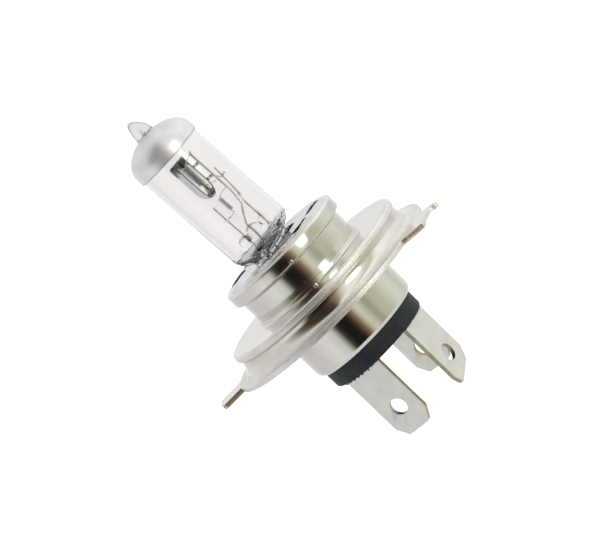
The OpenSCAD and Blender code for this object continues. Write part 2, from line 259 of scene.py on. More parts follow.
def finish_piece(name, bm, finishes, stands_for=(), leaning=False, weighted=False):
    """Turns a bmesh into a piece that rides on the part's one body."""
    if leaning:
        bmesh.ops.transform(bm, matrix=capsule, verts=bm.verts)
    bmesh.ops.scale(bm, vec=(MM, MM, MM), verts=bm.verts)
    mesh = bpy.data.meshes.new(name)
    bm.to_mesh(mesh)
    bm.free()
    mesh.shade_smooth()
    mesh.set_sharp_from_angle(angle=SHARP)
    for finish in finishes:
        mesh.materials.append(finish)
    piece = bpy.data.objects.new(name, mesh)
    bpy.context.scene.collection.objects.link(piece)
    if weighted:
        modifier = piece.modifiers.new("normals", "WEIGHTED_NORMAL")
        modifier.keep_sharp, modifier.weight = True, 80
    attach(piece, "root")
    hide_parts(*stands_for)
    return piece


# ------------------------------------------------------------ material helpers

def add(tree, kind, inputs=None, **settings):
    """A new node, its inputs linked to sockets or set to values."""
    made = tree.nodes.new(kind)
    for key, value in settings.items():
        setattr(made, key, value)
    for key, value in (inputs or {}).items():
        if isinstance(value, bpy.types.NodeSocket):
            tree.links.new(value, made.inputs[key])
        else:
            made.inputs[key].default_value = value
    return made


def new_finish(name, **sockets):
    """A material with one Principled shader: itself, its tree, shader and millimetre coordinates."""
    finish = bpy.data.materials.new(name)
    finish.use_nodes = True
    tree = finish.node_tree
    tree.nodes.clear()
    shader = add(tree, "ShaderNodeBsdfPrincipled")
    for key, value in sockets.items():
        shader.inputs[key.replace("_", " ")].default_value = value
    output = add(tree, "ShaderNodeOutputMaterial")
    tree.links.new(shader.outputs[0], output.inputs["Surface"])
    place = add(tree, "ShaderNodeTexCoord").outputs["Object"]
    return finish, tree, shader, stretched(tree, place, (1000, 1000, 1000))


def dress(tree, shader, colour, roughness, normal):
    """Links the three things that every finish varies over its surface."""
    for socket, source in (("Base Color", colour), ("Roughness", roughness), ("Normal", normal)):
        tree.links.new(source, shader.inputs[socket])


def along(tree, vector, axis):
    return add(tree, "ShaderNodeSeparateXYZ", {"Vector": vector}).outputs[axis]


def maths(tree, operation, *values):
    return add(tree, "ShaderNodeMath", dict(enumerate(values)), operation=operation).outputs[0]


def stretched(tree, vector, scale):
    return add(tree, "ShaderNodeMapping", {"Vector": vector, "Scale": scale}).outputs["Vector"]


def grain(tree, vector, scale, detail=3.0, roughness=0.5, distortion=0.0):
    """Noise from 0 to 1 at this many cells a millimetre."""
    return add(tree, "ShaderNodeTexNoise", {"Vector": vector, "Scale": scale, "Detail": detail,
                                            "Roughness": roughness, "Distortion": distortion}).outputs["Fac"]


def spread(tree, value, low, high, to_low=0.0, to_high=1.0):
    """The value's range low to high carried to to_low to to_high."""
    return add(tree, "ShaderNodeMapRange", {"Value": value, "From Min": low, "From Max": high,
                                            "To Min": to_low, "To Max": to_high}).outputs["Result"]


def smooth_step(tree, value, low, high):
    return add(tree, "ShaderNodeMapRange", {"Value": value, "From Min": low, "From Max": high},
               interpolation_type="SMOOTHSTEP").outputs["Result"]


def blend(tree, factor, first, second):
    """A mix of two colours."""
    made = add(tree, "ShaderNodeMix", data_type="RGBA")
    for socket, value in ((made.inputs[0], factor), (made.inputs[6], first), (made.inputs[7], second)):
        if isinstance(value, bpy.types.NodeSocket):
            tree.links.new(value, socket)
        else:
            socket.default_value = value
    return made.outputs[2]


def bump(tree, height, depth, under=None):
    """Relief this many millimetres deep, over another relief if one is given."""
    inputs = {"Height": height, "Distance": depth * MM, "Strength": 1.0}
    if under is not None:
        inputs["Normal"] = under
    return add(tree, "ShaderNodeBump", inputs).outputs["Normal"]


def tinted(colour, red, green, blue):
    """The colour with its channels scaled."""
    return (colour[0] * red, colour[1] * green, colour[2] * blue, 1)


def polished_nickel(name, light, dark, rough_low, rough_high, wave=0.006):
    """Plated or drawn metal, softly clouded, with faint flecks and a shallow ripple."""
    finish, tree, shader, mm = new_finish(name, Metallic=1.0, IOR=1.5)
    cloud = grain(tree, mm, 0.22, 4, 0.6)
    speck = grain(tree, mm, 2.6, 5, 0.65)
    dark_mix = spread(tree, cloud, 0.42, 0.66)
    shade = blend(tree, dark_mix, light, dark)
    fleck = spread(tree, speck, 0.66, 0.74, 0.0, 0.35)
    drawn = grain(tree, stretched(tree, mm, (1, 1, 7)), 0.9, 4, 0.6)
    ripple = bump(tree, grain(tree, mm, 0.3, 1, 0.3), wave)
    dress(tree, shader, blend(tree, fleck, shade, tinted(dark, 0.7, 0.66, 0.6)),
          spread(tree, drawn, 0.3, 0.75, rough_low, rough_high), bump(tree, speck, wave * 0.1, ripple))
    return finish


def bare_wire(name, light, dark, rough):
    """Drawn wire or foil with streaks along its length."""
    finish, tree, shader, mm = new_finish(name, Metallic=1.0)
    streak = grain(tree, stretched(tree, mm, (1, 1, 0.25)), 5.5, 4, 0.6)
    dress(tree, shader, blend(tree, spread(tree, streak, 0.35, 0.7), light, dark),
          spread(tree, streak, 0.3, 0.7, rough - 0.08, rough + 0.14), bump(tree, streak, 0.01))
    return finish


# ------------------------------------------------------------------- finishes

nickel = polished_nickel("nickel_plate", (0.66, 0.65, 0.61, 1), (0.62, 0.60, 0.53, 1), 0.07, 0.15)
collar_nickel = polished_nickel("collar_nickel", (0.66, 0.65, 0.61, 1), (0.63, 0.61, 0.54, 1), 0.08, 0.15)
clip_steel = polished_nickel("clip_steel", (0.70, 0.69, 0.71, 1), (0.56, 0.55, 0.55, 1), 0.16, 0.34, 0.02)
# paler, rougher metal for edges and rims: partly rubbing wear, partly a painted highlight
worn_and_highlit_edge = polished_nickel("worn_and_highlit_edge", (0.80, 0.79, 0.77, 1), (0.72, 0.70, 0.66, 1), 0.42, 0.58)
weld_metal = polished_nickel("weld_metal", (0.70, 0.68, 0.63, 1), (0.42, 0.36, 0.28, 1), 0.12, 0.30, 0.03)


def sheared_edge():
    """The lugs' cut flanks: copper-coloured, paler towards the rear face."""
    finish, tree, shader, mm = new_finish("sheared_edge", Metallic=1.0)
    torn = grain(tree, stretched(tree, mm, (1, 1, 3)), 1.6, 5, 0.7, 0.4)
    rim = spread(tree, along(tree, mm, "Z"), -0.62, -0.42)
    copper = blend(tree, spread(tree, torn, 0.4, 0.62), (0.60, 0.50, 0.42, 1), (0.30, 0.20, 0.14, 1))
    dress(tree, shader, blend(tree, rim, (0.74, 0.66, 0.54, 1), copper),
          spread(tree, torn, 0.3, 0.7, 0.3, 0.55), bump(tree, torn, 0.05))
    return finish


def clear_glass(name, tint, haze=0.0, ior=1.46, clear=1.0):
    """Glass with a faint cloud, hazed and less clear where it was worked."""
    finish, tree, shader, mm = new_finish(name, Transmission_Weight=clear, IOR=ior, Metallic=0.0)
    cloud = grain(tree, stretched(tree, mm, (1, 1, 0.2)), 0.5, 3, 0.5)
    dress(tree, shader, blend(tree, cloud, tint + (1,), tinted(tint, 0.985, 0.985, 0.985)),
          spread(tree, cloud, 0.3, 0.7, haze, haze + 0.015), bump(tree, cloud, 0.006))
    return finish


def silver_coating(name, light, dark):
    """Satin silver paint."""
    finish, tree, shader, mm = new_finish(name, Metallic=0.7, IOR=1.5, Coat_Weight=0.15, Coat_Roughness=0.2)
    cloud = grain(tree, mm, 0.3, 4, 0.55, 0.3)
    fine = grain(tree, mm, 6.0, 3, 0.6)
    dress(tree, shader, blend(tree, spread(tree, cloud, 0.35, 0.65), light, dark),
          spread(tree, cloud, 0.3, 0.7, 0.35, 0.42), bump(tree, fine, 0.004))
    return finish


def moulded_insulator():
    """Dark moulding with dusty scratches."""
    finish, tree, shader, mm = new_finish("insulator_moulding", IOR=1.5, Specular_IOR_Level=0.28)
    fine = grain(tree, mm, 3.5, 5, 0.65)
    cloud = grain(tree, mm, 0.4, 3, 0.6)
    scratch = grain(tree, stretched(tree, mm, (1.2, 1.2, 0.45)), 2.2, 5, 0.75, 0.6)
    base = blend(tree, spread(tree, cloud, 0.35, 0.68), (0.006, 0.010, 0.012, 1), (0.012, 0.019, 0.024, 1))
    dusty = spread(tree, scratch, 0.58, 0.74, 0.0, 0.6)
    dress(tree, shader, blend(tree, dusty, base, (0.045, 0.058, 0.062, 1)),
          spread(tree, fine, 0.3, 0.7, 0.42, 0.66), bump(tree, fine, 0.06, bump(tree, scratch, 0.14)))
    return finish


def blade_plate(name, light, dark, rough=0.42):
    """Dull plating brushed along the blades, with a few pits."""
    finish, tree, shader, mm = new_finish(name, Metallic=1.0)
    brushed = grain(tree, stretched(tree, mm, (3.2, 3.2, 0.16)), 1.6, 5, 0.6)
    cloud = grain(tree, mm, 0.35, 3, 0.6)
    base = blend(tree, spread(tree, cloud, 0.35, 0.65), light, dark)
    pits = spread(tree, grain(tree, mm, 4.2, 4, 0.7), 0.70, 0.80, 0.0, 0.45)
    dress(tree, shader, blend(tree, pits, base, tinted(dark, 0.55, 0.5, 0.42)),
          spread(tree, brushed, 0.3, 0.72, rough - 0.08, rough + 0.08), bump(tree, brushed, 0.012))
    return finish


def shield_metal(name, light, dark, rough, metallic=1.0, painted_shade_amount=0.0):
    """Drawn sheet, dark towards the shield's front end, with painted shade under its lip as strong as the
    last argument asks.
    """
    finish, tree, shader, mm = new_finish(name, Metallic=metallic)
    drawn = grain(tree, stretched(tree, mm, (1, 1, 0.3)), 2.4, 4, 0.6)
    bright = blend(tree, spread(tree, drawn, 0.35, 0.68), light, dark)
    ragged = maths(tree, "ADD", along(tree, mm, "Z"),
                   spread(tree, grain(tree, mm, 0.8, 3, 0.6), 0.3, 0.7, -0.8, 0.8))
    # painted shade: the colour darkens to blue-grey under the lip, towards -Y, by the last argument's amount
    painted_shade_under_lip = spread(tree, along(tree, mm, "Y"), -0.75, -0.2, 0.0, painted_shade_amount)
    with_painted_shade = blend(tree, painted_shade_under_lip, bright, (0.16, 0.18, 0.21, 1))
    # the sheet turns dark green-black towards the front end, along a ragged line
    dark_mix = spread(tree, ragged, 32.4, 33.3, 0.0, 0.92)
    dress(tree, shader, blend(tree, dark_mix, with_painted_shade, (0.08, 0.11, 0.08, 1)),
          spread(tree, drawn, 0.3, 0.7, rough, rough + 0.08), bump(tree, drawn, 0.006))
    return finish


sheared = sheared_edge()
lamp_glass = clear_glass("clear_glass", (0.965, 0.955, 0.95))
tip_glass = clear_glass("tip_glass", (0.975, 0.975, 0.98), 0.3, 1.3, 0.84)
pinch_glass = clear_glass("pinch_glass", (0.88, 0.91, 0.94), 0.10, 1.38, 0.86)
bead_glass = clear_glass("bead_glass", (0.985, 0.985, 0.99), 0.01, 1.3)
coating = silver_coating("silver_coating", (0.76, 0.76, 0.78, 1), (0.67, 0.68, 0.72, 1))
# painted shade: a darker copy of the coating for its cut rim, standing for the shade along the coating's edge
coating_rim_painted_shade = silver_coating("silver_coating_rim", (0.55, 0.56, 0.59, 1), (0.46, 0.47, 0.50, 1))
insulation = moulded_insulator()
blade_metal = blade_plate("blade_plate", (0.73, 0.725, 0.69, 1), (0.68, 0.675, 0.63, 1))
blade_edge = blade_plate("blade_edge", (0.46, 0.42, 0.32, 1), (0.30, 0.26, 0.18, 1), 0.36)
shield_sheet = shield_metal("shield_metal", (0.78, 0.78, 0.80, 1), (0.66, 0.66, 0.69, 1), 0.22)
# the lining carries 0.6 of the painted shade under the lip
shield_lining = shield_metal("shield_lining", (0.96, 0.96, 0.97, 1), (0.90, 0.91, 0.93, 1), 0.1, 1.0, 0.6)
# painted shade: a near-black finish for the lip's flat edge faces, standing for the shade along the rim
shield_lip_painted_shade = shield_metal("shield_lip_painted_shade", (0.20, 0.21, 0.23, 1), (0.12, 0.13, 0.14, 1), 0.3)
lead_metal = bare_wire("lead_wire", (0.90, 0.91, 0.96, 1), (0.72, 0.73, 0.78, 1), 0.2)
tungsten = bare_wire("tungsten", (0.74, 0.75, 0.80, 1), (0.52, 0.53, 0.58, 1), 0.3)
foil = bare_wire("seal_foil", (0.50, 0.48, 0.45, 1), (0.34, 0.32, 0.30, 1), 0.4)


# -------------------------------------------------------------- glass capsule

def squared(angle, across, deep, power):
    """A point of an oval that gets squarer as power grows."""
    c, s = math.cos(angle), math.sin(angle)
    return (across * math.copysign(abs(c) ** (2 / power), c), deep * math.copysign(abs(s) ** (2 / power), s))


def pinch(bm, sections, lumps, seed):
    """Carries a tube's open lower rim down through ovals and closes it.

    An oval is (height, half width, half depth, power)."""
    rim = [e for e in bm.edges if e.is_boundary]
    for height, across, deep, power in sections:
        grown = bmesh.ops.extrude_edge_only(bm, edges=rim)["geom"]
        rim = [g for g in grown if isinstance(g, bmesh.types.BMEdge) and g.is_boundary]
        for vert in {v for g in rim for v in g.verts}:
            angle = math.atan2(vert.co.y, vert.co.x)
            x, y = squared(angle, across, deep, power)
            swell = lumps * noise.noise(Vector((x, y, height)) * 0.9 + Vector((seed, 0, 0)))
            vert.co = (x * (1 + swell), y * (1 + 2.2 * swell), height + 1.2 * swell)
    bmesh.ops.holes_fill(bm, edges=rim, sides=0)
    bmesh.ops.recalc_face_normals(bm, faces=bm.faces)


def dome(radius, height, low, high, steps=16):
    """Points of the nose from the angle high down to the angle low, in degrees."""
    angles = [math.radians(high + (low - high) * i / steps) for i in range(steps + 1)]
    return [(radius * math.cos(a), DOME_BASE + height * math.sin(a)) for a in angles]


inner_r = GLASS_R - GLASS_WALL
outer = lathe([(0, TIP_Z), (0.5, TIP_Z - 0.1, 0.35), (1.12, TIP_Z - 0.98, 1.2), (1.64, 43.1, 1.6),
               (1.84, 42.1, 0.8), (1.9, 41.35, 0.2)] + dome(GLASS_R, DOME_H, 0, 68) + [(GLASS_R, 15.6)],
              steps=128, closed=False)
for vert in outer.verts:  # the tip leans over where it was drawn off
    bend = max(0.0, vert.co.z - TIP_BEND_Z) / (TIP_Z - TIP_BEND_Z)
    vert.co += TIP_BEND * bend ** 1.3
pinch(outer, [(15.2, 6.32, 6.08, 2.0), (14.6, 6.22, 5.5, 2.02), (14.2, 6.06, 4.9, 2.05),
              (13.9, 5.9, 4.1, 2.15), (13.7, 5.76, 3.2, 2.4), (13.5, 5.66, 2.3, 2.9), (13.2, 5.6, 1.88, 3.6),
              (12.6, 5.6, 1.8, 4.0), (9.5, 5.6, 1.8, 4.0), (4.0, 5.6, 1.8, 4.0), (1.75, 5.58, 1.78, 4.0),
              (1.5, 5.4, 1.6, 4.0)], lumps=0.012, seed=3.0)
for place, size in (((4.1, 1.45, 12.6), 0.75), ((5.1, -0.1, 13.1), 0.78)):
    outer = boolean(outer, ball(size, (1.0, 0.9, 1.15), place, 24, 16), "UNION")
inner = lathe([(0, 40.6)] + dome(inner_r, DOME_H - 0.9, 0, 78) + [(inner_r, 16.6)], steps=128, closed=False)
pinch(inner, [(16.0, 5.36, 5.14, 2.0), (15.5, 5.26, 4.6, 2.05), (15.15, 5.1, 3.7, 2.15),
              (14.9, 4.9, 2.6, 2.3), (14.7, 4.6, 1.5, 2.5), (14.5, 4.2, 0.8, 2.7)], lumps=0.02, seed=11.0)
tip_bubble = lathe([(0, 43.25), (0.3, 43.1, 0.2), (0.36, 42.8, 0.2), (0.24, 42.55, 0.15), (0.4, 42.2, 0.2),
                    (0.32, 41.8, 0.2), (0, 41.7)], steps=32, closed=False)
for cavity in (inner, tip_bubble):
    bmesh.ops.reverse_faces(cavity, faces=cavity.faces)
glass = join(outer, inner, tip_bubble)
for face in glass.faces:
    height = face.calc_center_median().z
    face.material_index = 1 if height > TIP_START else 2 if height < PINCH_TOP else 0
finish_piece("glass_capsule", glass, [lamp_glass, tip_glass, pinch_glass], ["glass_envelope"],
             leaning=True)

skin_r, coat_r = GLASS_R + COATING_GAP, GLASS_R + COATING_T
nose = lathe(
    [(coat_r, COATING_EDGE, 0.14), (coat_r, COATING_EDGE + 0.3), (coat_r, DOME_BASE - 0.2)]
    + dome(coat_r, DOME_H + COATING_T, NOSE_TOP, 4)
    + dome(skin_r, DOME_H + COATING_GAP, 4, NOSE_TOP) + [(skin_r, DOME_BASE - 0.2), (skin_r, COATING_EDGE)],
    steps=160)
# faces at the coating's rear edge take the darker copy: painted shade
for face in nose.faces:
    face.material_index = 1 if face.calc_center_median().z < COATING_EDGE + 0.29 else 0
finish_piece("nose_coating", nose, [coating, coating_rim_painted_shade], ["front_coating"], leaning=True)


# ------------------------------------------------- leads, filaments and shield

COMMON_X, COMMON_Y = -SHIELD_R - 0.05 - LEAD_R, 1.65
CRIMP_LOW, CRIMP_HIGH, LEAD_FOOT = 27.5, 22.05, 9.5
FILAMENT_Y, COIL_STEPS = 0.4, 20
low_route = [(-LEAD_PITCH, *bend) for bend in (
    (0.1, LEAD_FOOT), (0.1, 14.1, 0.8), (1.25, 16.4, 1.5), (1.3, 21.9, 1), (1.8, 23.2, 1),
    (2.3, CRIMP_LOW, 3), (2.5, 29.4))]
common_route = [(0, 0.1, LEAD_FOOT), (0, 0.1, 19.3, 0.8), (-0.1, 1.5, 21, 0.7), (-1.2, 1.9, 22.2, 0.7),
                (COMMON_X, COMMON_Y, 24.4, 1.5), (COMMON_X, COMMON_Y, 33.9, 0.3),
                (COMMON_X, COMMON_Y + 0.4, 34.1)]
high_route = [(LEAD_PITCH, *bend) for bend in ((0, LEAD_FOOT), (0, 13.6, 1), (0.3, 15, 1), (0.3, 25.2))]
for name, route in (("low_beam_lead", low_route), ("common_lead", common_route),
                    ("high_beam_lead", high_route)):
    wire = tube(route, WIRE_R)
    soften(wire, 0.06, only=lambda e: e.calc_length() < 0.3)
    finish_piece(name + "_wire", wire, [lead_metal], [name], leaning=True)


def coil(radius, low, high, turns, wire_r, start, end):
    """A filament: a coil about a line beside the axis, with its two tails."""
    points = [Vector(p) for p in start]
    count = turns * COIL_STEPS
    for i in range(count + 1):
        a = 2 * math.pi * i / COIL_STEPS
        height = low + (high - low) * i / count
        points.append(Vector((radius * math.cos(a), FILAMENT_Y + radius * math.sin(a), height)))
    points += [Vector(p) for p in end]
    return curve_tube(points, wire_r, COIL_BEVEL)


low_coil = coil(0.46, 29.0, 32.8, 15, 0.07,
                [(-LEAD_PITCH + 0.3, 2.6, CRIMP_LOW), (-1.6, 2.35, 27.7), (0.1, 1.5, 28.2),
                 (0.45, 0.6, 28.8)],
                [(0.4, 0.7, 33.1), (-0.6, 1.1, 33.6), (COMMON_X + 0.2, COMMON_Y, 33.9)])
finish_piece("low_beam_coil", low_coil, [tungsten], ["low_beam_filament"], leaning=True)
high_coil = coil(0.4, 22.7, 25.3, 11, 0.075,
                 [(LEAD_PITCH - 0.35, 0.9, CRIMP_HIGH), (1.6, 1.0, 22.0), (0.6, 0.8, 22.2),
                  (0.42, 0.5, 22.5)],
                 [(0.3, 0.8, 25.5), (-0.8, 1.15, 25.8), (COMMON_X + 0.2, COMMON_Y, 25.9)])
finish_piece("high_beam_coil", high_coil, [tungsten], ["high_beam_filament"], leaning=True)

# The shield: half a section of its wall turned just past a half turn, then given its thickness
AXIS_Y, LIP_Y = 0.1, 0.3
SHIELD_MIDDLE, END_WALL, TAB_HEIGHTS = 30, 34, (28.9, 32.0)
trough = bmesh.new()
nose_z = SHIELD_REAR + SHIELD_R
line(trough, section([(0.02, SHIELD_REAR), (0.7, SHIELD_REAR + 0.12, 1.8), (1.55, SHIELD_REAR + 0.75, 1.8),
                      (SHIELD_R, nose_z, 2.5), (SHIELD_R, SHIELD_FRONT, 0.35), (0.02, SHIELD_FRONT)]))
past = math.asin((LIP_Y - AXIS_Y) / SHIELD_R)
bmesh.ops.rotate(trough, cent=(0, 0, 0), matrix=Matrix.Rotation(past, 3, "Z"), verts=trough.verts)
bmesh.ops.spin(trough, geom=trough.verts[:] + trough.edges[:], cent=(0, 0, 0), axis=(0, 0, -1),
               dvec=(0, 0, 0), angle=math.pi + 2 * past, steps=40, use_merge=False, use_duplicate=False)
bmesh.ops.remove_doubles(trough, verts=trough.verts, dist=0.03)
bmesh.ops.recalc_face_normals(trough, faces=trough.faces)
if sum(f.normal.dot(f.calc_center_median() - Vector((0, 0, SHIELD_MIDDLE))) for f in trough.faces) < 0:
    bmesh.ops.reverse_faces(trough, faces=trough.faces)
bmesh.ops.solidify(trough, geom=trough.faces[:], thickness=SHIELD_T)
bmesh.ops.recalc_face_normals(trough, faces=trough.faces)
soften(trough, 0.06, least=math.radians(55))
# lining and outside faces take their finishes; the flat lip faces take the near-black finish of painted shade
for face in trough.faces:
    middle = face.calc_center_median()
    upward = min(0, SHIELD_MIDDLE - middle.z) if middle.z > END_WALL else max(0, nose_z - middle.z)
    lining = face.normal.dot(Vector((-middle.x, -middle.y, upward))) > 0
    lip = face.normal.y > 0.7 and abs(middle.y - LIP_Y + AXIS_Y) < 0.14
    face.material_index = 2 if lip else 1 if lining else 0
shift(trough, (0, AXIS_Y, 0))
for z in TAB_HEIGHTS:
    join(trough, block((0.14, 1.5, 0.55), (-SHIELD_R - 0.04, 0.9, z), 0.04))
finish_piece("shield_trough", trough, [shield_sheet, shield_lining, shield_lip_painted_shade], ["beam_shield"],
             leaning=True)


def crimp(x, y, z, reach):
    """A tag folded over its lead: two leaves and the fold round the wire."""
    strip = bmesh.new()
    gap, end, tall = 0.3, reach / 2, 0.32
    line(strip, [(-gap, end, 0), (-gap, gap - end, 0, 0.28), (0, -end, 0, 0.2), (gap, gap - end, 0, 0.28),
                 (gap, end, 0)])
    grown = bmesh.ops.extrude_edge_only(strip, edges=strip.edges[:])
    bmesh.ops.translate(strip, vec=(0, 0, tall), verts=grown_verts(grown))
    bmesh.ops.recalc_face_normals(strip, faces=strip.faces)
    bmesh.ops.solidify(strip, geom=strip.faces[:], thickness=0.14)
    bmesh.ops.recalc_face_normals(strip, faces=strip.faces)
    shift(strip, (x, y, z - tall / 2))
    return strip


tags = join(crimp(-LEAD_PITCH, 2.2, CRIMP_LOW, 1.8), crimp(LEAD_PITCH, 0.38, CRIMP_HIGH, 1.5))
finish_piece("crimp_tags", tags, [lead_metal], ["filament_crimps"], leaning=True)

oxide = tube([(LEAD_PITCH, 0.3, 16.8), (LEAD_PITCH, 0.3, 18.1)], LEAD_R + 0.08)
finish_piece("bead_oxide", oxide, [foil], leaning=True)

# The bead is three fused lobes of glass, one round each lead
bead = ball(1, (1.25, 1.1, 1.0), (-3.0, 1.0, 17.5), 40, 24)
for place, size in (((0, 0.2, 17.4), (1.6, 1.35, 1.45)), ((3.1, -0.4, 17.4), (1.3, 1.15, 1.0))):
    bead = boolean(bead, ball(1, size, place, 40, 24), "UNION")
bead = boolean(bead, block((5.6, 0.9, 0.8), (0, 0.25, 17.4), 0.3, -14), "UNION")
bmesh.ops.smooth_vert(bead, verts=bead.verts, factor=0.5, use_axis_x=True, use_axis_y=True, use_axis_z=True)
finish_piece("bead_lobes", bead, [bead_glass], ["support_bead"], leaning=True)


# ---------------------------------------------------------------- front plate

disc = lathe([(0, 12.62), (7.2, 12.62, 2), (8.0, 12.95, 2), (10.2, 12.9, 2.0), (11.5, 12.52, 0.3),
              (11.55, 12.3, 0.1), (11.3, 12.2), (10.1, 12.5, 2), (8.0, 12.55, 2), (7.2, 12.22, 2),
              (0, 12.22)], steps=160, closed=False)
CUTTER_FOOT, CUTTER_T = 11, 4
cutters = plate([slot_points(SEAL_SLOT, (0, 0), CUTTER_FOOT)], CUTTER_T)
for x in (-CLIP_SLOT_X, CLIP_SLOT_X):
    for y in (-CLIP_SLOT_Y, CLIP_SLOT_Y):
        join(cutters, plate([slot_points(CLIP_SLOT, (x, y), CUTTER_FOOT)], CUTTER_T))
disc = boolean(disc, cutters, "DIFFERENCE")
finish_piece("clip_disc", disc, [clip_steel], ["clip_plate"])


# ------------------------------------------------------- collar, ring and shell

collar = lathe([
    (NECK_R - SHEET, 2.6), (NECK_R, 2.6, 0.1), (NECK_R, 9.65, 0.45), (RIM_R - 0.12, 9.85, 0.1),
    (RIM_R, 10.1, 0.2), (RIM_R - 0.03, RIM_Z, 0.6), (RIM_R - 1.4, RIM_Z, 0.1),
    (RIM_R - 1.4, RIM_Z - SHEET, 0.1), (RIM_R - SHEET, RIM_Z - SHEET, 0.3), (RIM_R - SHEET, 10.4, 0.2),
    (NECK_R - SHEET, 10.1, 0.4)], steps=224)
# the rim's lower fillet and top rounding take the paler edge finish: wear and a painted highlight
for face in collar.faces:
    middle = face.calc_center_median()
    radius = math.hypot(middle.x, middle.y)
    worn_and_highlit = (radius > 11.7 and middle.z < 10.2) or (radius > 12.0 and middle.z > 12.0)
    face.material_index = 1 if worn_and_highlit else 0
finish_piece("collar_sleeve", collar, [collar_nickel, worn_and_highlit_edge], ["front_collar"])

back = GROOVE_R - RING_T
ring = lathe([
    (NECK_R, 1.0), (NECK_R, FACE_Z + 0.75, 0.08), (NECK_R + 0.4, FACE_Z + 0.75, 0.15),
    (NECK_R + 0.45, FACE_Z - 0.05, 0.4), (15.0, FACE_Z - 0.06, 20), (PILOT_R, FACE_Z, 0.62),
    (PILOT_R, 3.35, 0.3), (GROOVE_R, 2.85, 0.3),
    (GROOVE_R, 0, FLARE_R), (FLANGE_R, 0, 0.15), (FLANGE_R, -RING_T, 0.1), (back, -RING_T, FLARE_R + RING_T),
    (back, 2.5, 0.3), (PILOT_R - RING_T, 3.05, 0.3), (PILOT_R - RING_T, FACE_Z - RING_T, 0.3),
    (NECK_R + 0.8, FACE_Z - RING_T, 0.3), (NECK_R + 0.8, 1.0)], steps=288)
# the flange top, flange rim and pilot rim take the paler edge finish: wear and a painted highlight
for face in ring.faces:
    middle = face.calc_center_median()
    radius = math.hypot(middle.x, middle.y)
    flange_top = face.normal.z > 0.3 and radius > GROOVE_R + 1.0 and middle.z < 0.45
    flange_rim = radius > FLANGE_R - 0.18 and middle.z > 0.04 - RING_T
    pilot_rim = radius > GROOVE_R and 3.4 < middle.z < 4.45
    face.material_index = 2 if flange_top or flange_rim or pilot_rim else 0


def lug(loop):
    """A flat lug in the sheet of the flange, pointing along +Y, its sheared flanks in the second finish."""
    bm = plate([loop], RING_T)
    shift(bm, (0, 0, -RING_T))
    for face in bm.faces:
        face.material_index = 1 if abs(face.normal.x) > 0.6 else 2 if abs(face.normal.z) < 0.5 else 0
    return bm


half = REFERENCE_LUG_HALF
reference = lug([(-half, LUG_ROOT_R, 0), (half, LUG_ROOT_R, 0), (half, 24.0, 0, 0.8), (3.8, 26.4, 0, 0.2),
                 (3.2, 26.48, 0, 0.3), (0.6, 25.4, 0, 3), (-2.5, 24.9, 0, 1.6), (-3.4, 26.3, 0, 0.6),
                 (-4.1, LUG_TIP_R, 0, 0.2), (-half, 25.0, 0, 0.8)])
bmesh.ops.subdivide_edges(reference, edges=[e for e in reference.edges if e.calc_length() > 1.2], cuts=6,
                          use_grid_fill=True)
bmesh.ops.triangulate(reference, faces=[f for f in reference.faces if len(f.verts) > 4])
for vert in reference.verts:  # one horn of the reference lug curls back
    curl = max(0.0, (vert.co.y - 24.6) / 1.9) * max(0.0, min(1.0, (-1.4 - vert.co.x) / 1.6))
    vert.co.z -= 0.3 * curl ** 1.7
# the reference lug's far flanks take the paler edge finish too: wear and a painted highlight
for face in reference.faces:
    if face.calc_center_median().x < 3.5 and face.material_index == 1:
        face.material_index = 2
lugs = [reference]
for side in (-1, 1):
    w = LUG_HALF
    piece = lug([(-w, LUG_ROOT_R, 0), (w, LUG_ROOT_R, 0), (w, 25.6, 0, 0.4), (w - 0.5, 26.2, 0, 0.3),
                 (0, LUG_TIP_R, 0, 4), (-w + 0.5, 26.2, 0, 0.3), (-w, 25.6, 0, 0.4)])
    turn_z(piece, side * LUG_TURN)
    lugs.append(piece)
for piece in lugs:
    ring = boolean(ring, piece, "UNION")
finish_piece("lug_ring", ring, [nickel, sheared, worn_and_highlit_edge], ["flange_ring"], weighted=True)

beads = bmesh.new()
for turn in WELD_TURNS:
    for radius, z, size in ((NECK_R + 0.72, FACE_Z + 0.05, 0.36), (RIM_R - 0.1, 10.3, 0.34)):
        nub = bmesh.new()
        bmesh.ops.create_icosphere(nub, subdivisions=3, radius=size)
        bmesh.ops.scale(nub, vec=(0.6, 1.15, 0.8), verts=nub.verts)
        for vert in nub.verts:
            vert.co *= 1 + 0.16 * noise.noise(vert.co * 3.1 + Vector((turn, z, 0)))
        shift(nub, (radius, 0, z))
        turn_z(nub, turn)
        join(beads, nub)
finish_piece("weld_beads", beads, [weld_metal], ["weld_nubs"])

shell = lathe([
    (NECK_R - SHEET, 2.4), (NECK_R, 2.4), (NECK_R, 1.25, 0.3), (SHELL_R, 0.8, 0.5),
    (SHELL_R, SHELL_Z, SHELL_ROUND), (INSULATOR_R + 0.02, SHELL_Z, 0.08), (INSULATOR_R + 0.02, SHELL_Z + 0.5),
    (SHELL_R - SHEET, SHELL_Z + 1.1, 0.2), (SHELL_R - SHEET, 1.0)], steps=224)
finish_piece("shell_cup", shell, [nickel], ["base_shell"])


# ------------------------------------------------------- insulator and blades

plug_r, slack = SHELL_R - SHEET - 0.02, 0.35
body = lathe([(0, -5.5), (plug_r, -5.5, 0.2), (plug_r, SHELL_Z + 1.1), (INSULATOR_R, SHELL_Z + 0.5),
              (INSULATOR_R, INSULATOR_Z, 0.3), (4.9, INSULATOR_Z, 0.4), (4.5, INSULATOR_Z + 1.0, 0.4),
              (0, INSULATOR_Z + 1.0)], steps=240, closed=False)
pockets = bmesh.new()
for turn in (-90, 0, 90):
    pocket = block((BLADE_W + slack, BLADE_T + slack, 0.9), (0, BLADE_OFFSET, INSULATOR_Z), 0.1)
    turn_z(pocket, turn)
    join(pockets, pocket)
body = boolean(body, pockets, "DIFFERENCE")

